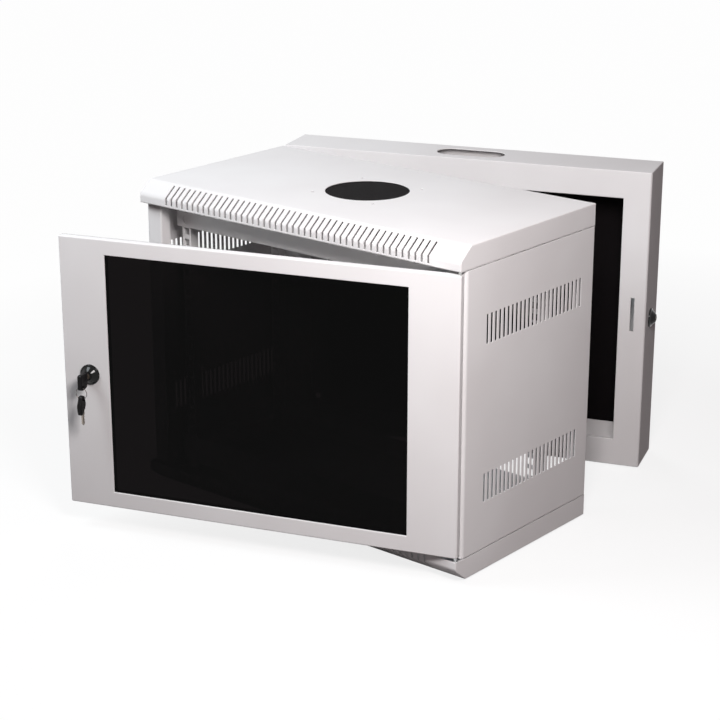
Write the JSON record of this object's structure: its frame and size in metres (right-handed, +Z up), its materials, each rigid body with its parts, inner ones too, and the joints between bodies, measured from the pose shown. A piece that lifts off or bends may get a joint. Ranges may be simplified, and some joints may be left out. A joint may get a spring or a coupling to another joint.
{
  "type": "wall mount network cabinet",
  "caption": "Double-section wall mount network cabinet: shallow wall frame, swing-out main section with slotted bevels and side vents, glazed lockable front door.",
  "frame": {"origin": "centre of the four wall fixing holes, in the plane of the rear flange that lies on the wall", "axes": "+X to the right seen from the front, +Y towards the wall, +Z up"},
  "size_m": [0.6975, 0.5848, 0.445],
  "materials": {
    "light_grey_powder_coat": "satin powder coat, light grey",
    "black_powder_coat": "matt black powder coat",
    "zinc_plated_steel": "clear zinc plate",
    "nickel_plated_steel": "nickel plate",
    "nickel_plated_brass": "nickel plate",
    "black_glossy_zinc_casting": "gloss black lacquer on the zinc casting",
    "moulded_black_plastic": "fine texture",
    "black_rubber": "matt",
    "smoked_glass": "polished, smoked"
  },
  "bodies": {
    "wall_section": {"back_panel_screws": "zinc_plated_steel", "lower_hinge_fixed_leaf": "zinc_plated_steel", "lower_hinge_pin": "zinc_plated_steel", "side_lock_body": "black_glossy_zinc_casting", "side_lock_nut": "zinc_plated_steel", "upper_hinge_fixed_leaf": "zinc_plated_steel", "upper_hinge_pin": "zinc_plated_steel", "wall_back_panel": "black_powder_coat", "wall_section_frame": "light_grey_powder_coat"},
    "main_section": {"bottom_cover": "light_grey_powder_coat", "earth_stud": "zinc_plated_steel", "fan_mesh": "black_powder_coat", "front_left_rack_rail": "light_grey_powder_coat", "front_right_rack_rail": "light_grey_powder_coat", "left_side_panel": "light_grey_powder_coat", "lower_cross_bar": "light_grey_powder_coat", "lower_door_bracket": "zinc_plated_steel", "lower_hinge_moving_leaf": "zinc_plated_steel", "lower_left_side_rail": "light_grey_powder_coat", "lower_right_side_rail": "light_grey_powder_coat", "rear_left_rack_rail": "light_grey_powder_coat", "rear_right_rack_rail": "light_grey_powder_coat", "right_side_panel": "light_grey_powder_coat", "top_cover": "light_grey_powder_coat", "upper_cross_bar": "light_grey_powder_coat", "upper_door_bracket": "zinc_plated_steel", "upper_hinge_moving_leaf": "zinc_plated_steel", "upper_left_side_rail": "light_grey_powder_coat", "upper_right_side_rail": "light_grey_powder_coat"},
    "door": {"door_bumpers": "black_rubber", "door_frame": "light_grey_powder_coat", "door_glass": "smoked_glass", "front_lock_body": "black_glossy_zinc_casting", "front_lock_nut": "zinc_plated_steel", "glass_gasket": "black_rubber", "left_glass_retainer": "zinc_plated_steel", "lower_door_pin": "zinc_plated_steel", "lower_glass_retainer": "zinc_plated_steel", "right_glass_retainer": "zinc_plated_steel", "upper_door_pin": "zinc_plated_steel", "upper_glass_retainer": "zinc_plated_steel"},
    "front_lock_rotor": {"front_cam_screw": "zinc_plated_steel", "front_key_blade": "nickel_plated_steel", "front_key_bow": "moulded_black_plastic", "front_lock_cam": "zinc_plated_steel", "front_lock_plug": "nickel_plated_brass"},
    "key_ring": {"key_ring": "nickel_plated_steel"},
    "spare_key": {"spare_key_blade": "nickel_plated_steel", "spare_key_bow": "moulded_black_plastic"},
    "side_lock_rotor": {"side_cam_screw": "zinc_plated_steel", "side_lock_cam": "zinc_plated_steel", "side_lock_plug": "nickel_plated_brass"}
  },
  "joints": [
    {"name": "main_swing", "type": "hinge", "parent": "wall_section", "child": "main_section", "pos_m": [-0.282, -0.083, 0], "axis": [0, 0, -1], "range_deg": [-20, 80]},
    {"name": "door_swing", "type": "hinge", "parent": "main_section", "child": "door", "pos_m": [0.13897, -0.54909, 0], "axis": [0, 0, 1], "range_deg": [-19.4, 160.6]},
    {"name": "front_lock_turn", "type": "hinge", "parent": "door", "child": "front_lock_rotor", "pos_m": [-0.37255, -0.54873, 0], "axis": [0.0105, 0.9999, 0], "range_deg": [0, 90]},
    {"name": "key_ring_swing", "type": "hinge", "parent": "front_lock_rotor", "child": "key_ring", "pos_m": [-0.37283, -0.57533, -0.0099], "axis": [0.9999, -0.0105, 0], "range_deg": [-70, 10]},
    {"name": "spare_key_swing", "type": "hinge", "parent": "key_ring", "child": "spare_key", "pos_m": [-0.37283, -0.57533, -0.0262], "axis": [0.9999, -0.0105, 0], "range_deg": [-50, 5]},
    {"name": "side_lock_turn", "type": "hinge", "parent": "wall_section", "child": "side_lock_rotor", "pos_m": [0.278, -0.0455, 0], "axis": [1, 0, 0], "range_deg": [0, 90]}
  ]
}
